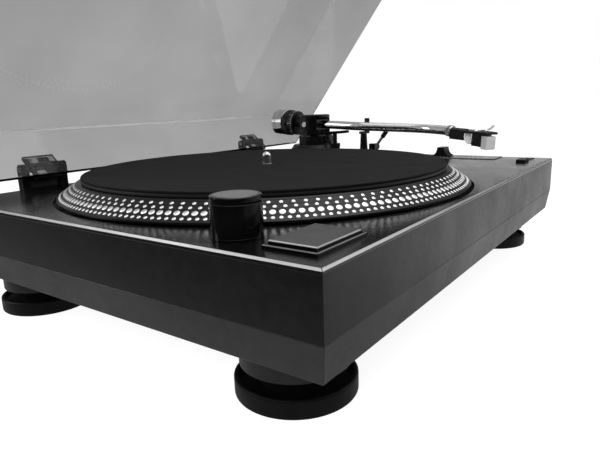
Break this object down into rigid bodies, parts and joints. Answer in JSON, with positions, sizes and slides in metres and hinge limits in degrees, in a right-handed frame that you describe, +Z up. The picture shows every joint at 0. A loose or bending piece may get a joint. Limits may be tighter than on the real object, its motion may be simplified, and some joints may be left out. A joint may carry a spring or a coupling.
{
  "type": "turntable",
  "caption": "Black belt-drive turntable with strobe platter, S-shaped tonearm, pitch fader, start pad and a hinged smoked dust cover standing open.",
  "frame": {"origin": "spindle axis at the top face of the slipmat, where a record's centre sits", "axes": "+X right, +Y to the rear hinges, +Z up along the spindle"},
  "size_m": [0.45, 0.3888, 0.4123],
  "materials": {
    "deck_black": "satin black anodised plate with a bright cut edge",
    "case_black": "satin black moulding",
    "neck_black": "black moulding",
    "foot_rubber": "black rubber",
    "platter_cast": "cast, dark grey rim with bright strobe dots",
    "steel": "turned steel",
    "chrome": "polished chrome",
    "mat_rubber": "black rubber",
    "felt": "black felt",
    "brass": "turned brass",
    "belt_rubber": "ground rubber",
    "board": "green laminate",
    "core_steel": "varnished core",
    "gloss_black": "glossy black plastic",
    "red_lens": "clear red lens",
    "weight_metal": "black front and polished rear",
    "arm_alloy": "black coated die casting",
    "clear_white": "translucent white",
    "lead_white": "white lead covering",
    "smoked": "smoked clear acrylic"
  },
  "bodies": {
    "deck": {"deck_plate": "deck_black", "top_casing": "case_black", "bottom_casing": "case_black", "case_screws": "steel", "foot_necks": "neck_black", "bearing_housing": "arm_alloy", "bearing_bush": "brass", "motor": "steel", "motor_screws": "steel", "drive_belt": "belt_rubber", "circuit_board": "board", "transformer": "core_steel", "strobe_column": "gloss_black", "strobe_window": "red_lens", "start_bezel": "gloss_black", "pitch_bezel": "case_black", "pitch_box": "steel", "arm_base": "arm_alloy", "arm_rest": "gloss_black", "lift_housing": "arm_alloy", "hinge_bases": "case_black", "hinge_pins": "steel", "phono_jacks": "brass", "ground_terminal": "steel", "mains_inlet": "case_black"},
    "platter": {"platter": "platter_cast", "spindle": "chrome", "rubber_mat": "mat_rubber"},
    "slipmat": {"slipmat": "felt"},
    "pulley": {"motor_pulley": "brass"},
    "gimbal": {"gimbal_yoke": "arm_alloy", "pivot_screws": "steel"},
    "tonearm": {"arm_block": "arm_alloy", "arm_tube": "chrome", "headshell": "arm_alloy", "finger_lift": "steel", "cartridge": "gloss_black", "cartridge_screws": "steel", "head_leads": "lead_white"},
    "collet": {"collet_nut": "chrome"},
    "counterweight": {"counterweight": "weight_metal"},
    "force_dial": {"force_dial": "gloss_black"},
    "stylus_guard": {"stylus_guard": "clear_white"},
    "cue_lift": {"lift_bar": "arm_alloy"},
    "cue_lever": {"cue_lever": "gloss_black"},
    "antiskate_dial": {"antiskate_dial": "gloss_black"},
    "power_knob": {"power_knob": "gloss_black"},
    "start_button": {"start_button": "gloss_black"},
    "speed_left": {"speed_button_left": "gloss_black"},
    "speed_right": {"speed_button_right": "gloss_black"},
    "pitch_knob": {"pitch_knob": "case_black"},
    "foot_front_left": {"foot_front_left": "foot_rubber"},
    "foot_front_right": {"foot_front_right": "foot_rubber"},
    "foot_rear_left": {"foot_rear_left": "foot_rubber"},
    "foot_rear_right": {"foot_rear_right": "foot_rubber"},
    "cover": {"dust_cover": "smoked", "lid_bumpers": "mat_rubber", "hinge_leaves": "case_black"}
  },
  "joints": [
    {"name": "platter_spin", "type": "hinge", "parent": "deck", "child": "platter", "pos_m": [0, 0, 0], "axis": [0, 0, -1], "continuous": true},
    {"name": "slipmat_slip", "type": "hinge", "parent": "platter", "child": "slipmat", "pos_m": [0, 0, 0], "axis": [0, 0, -1], "continuous": true},
    {"name": "pulley_spin", "type": "hinge", "parent": "deck", "child": "pulley", "pos_m": [-0.098, 0.072, -0.0223], "axis": [0, 0, -1], "continuous": true},
    {"name": "arm_swing", "type": "hinge", "parent": "deck", "child": "gimbal", "pos_m": [0.1925, 0.081, 0.0243], "axis": [0, 0, -1], "range_deg": [0, 44]},
    {"name": "arm_lift", "type": "hinge", "parent": "gimbal", "child": "tonearm", "pos_m": [0.1925, 0.081, 0.0243], "axis": [-0.9976, 0.0698, 0], "range_deg": [0, 4]},
    {"name": "collet_turn", "type": "hinge", "parent": "tonearm", "child": "collet", "pos_m": [0.18966, -0.08416, 0.01681], "axis": [-0.4999, -0.8651, -0.0408], "range_deg": [-30, 30]},
    {"name": "counterweight_travel", "type": "slide", "parent": "tonearm", "child": "counterweight", "axis": [0.0697, 0.9965, 0.0454], "range_m": [-0.002, 0.002]},
    {"name": "force_dial_turn", "type": "hinge", "parent": "counterweight", "child": "force_dial", "pos_m": [0.19449, 0.1094, 0.02559], "axis": [0.0697, 0.9965, 0.0454], "continuous": true},
    {"name": "guard_pull", "type": "slide", "parent": "tonearm", "child": "stylus_guard", "axis": [-0.4999, -0.8651, -0.0408], "range_m": [0, 0.012]},
    {"name": "cue_lever_turn", "type": "hinge", "parent": "deck", "child": "cue_lever", "pos_m": [0.2165, 0.01, -0.0037], "axis": [1, 0, 0], "range_deg": [0, 55]},
    {"name": "cue_lift_travel", "type": "slide", "parent": "deck", "child": "cue_lift", "axis": [0, 0, 1], "range_m": [-0.005, 0]},
    {"name": "antiskate_turn", "type": "hinge", "parent": "deck", "child": "antiskate_dial", "pos_m": [0.1925, 0.0584, 0.0083], "axis": [0, -1, 0], "range_deg": [0, 270]},
    {"name": "power_knob_turn", "type": "hinge", "parent": "deck", "child": "power_knob", "pos_m": [-0.1565, -0.107, 0.0033], "axis": [0, 0, 1], "range_deg": [0, 60]},
    {"name": "start_press", "type": "slide", "parent": "deck", "child": "start_button", "axis": [0, 0, -1], "range_m": [0, 0.0012], "stiffness_N_per_m": 900, "springref_m": -0.002},
    {"name": "speed_left_press", "type": "slide", "parent": "deck", "child": "speed_left", "axis": [0, 0, -1], "range_m": [0, 0.0019]},
    {"name": "speed_right_press", "type": "slide", "parent": "deck", "child": "speed_right", "axis": [0, 0, 1], "range_m": [0, 0.0019]},
    {"name": "pitch_slide", "type": "slide", "parent": "deck", "child": "pitch_knob", "axis": [0, 1, 0], "range_m": [-0.042, 0.042]},
    {"name": "level_front_left", "type": "slide", "parent": "deck", "child": "foot_front_left", "axis": [0, 0, 1], "range_m": [-0.002, 0.002]},
    {"name": "level_front_right", "type": "slide", "parent": "deck", "child": "foot_front_right", "axis": [0, 0, 1], "range_m": [-0.002, 0.002]},
    {"name": "level_rear_left", "type": "slide", "parent": "deck", "child": "foot_rear_left", "axis": [0, 0, 1], "range_m": [-0.002, 0.002]},
    {"name": "level_rear_right", "type": "slide", "parent": "deck", "child": "foot_rear_right", "axis": [0, 0, 1], "range_m": [-0.002, 0.002]},
    {"name": "cover_hinge", "type": "hinge", "parent": "deck", "child": "cover", "pos_m": [0.0445, 0.1803, -0.0003], "axis": [-1, 0, 0], "range_deg": [-52, 8]}
  ],
  "couplings": [
    {"joint": "pulley_spin", "follows": "platter_spin", "ratio": 11.135},
    {"joint": "cue_lever_turn", "follows": "cue_lift_travel", "rad_per_m": -191.99},
    {"joint": "speed_right_press", "follows": "speed_left_press", "ratio": 1}
  ]
}
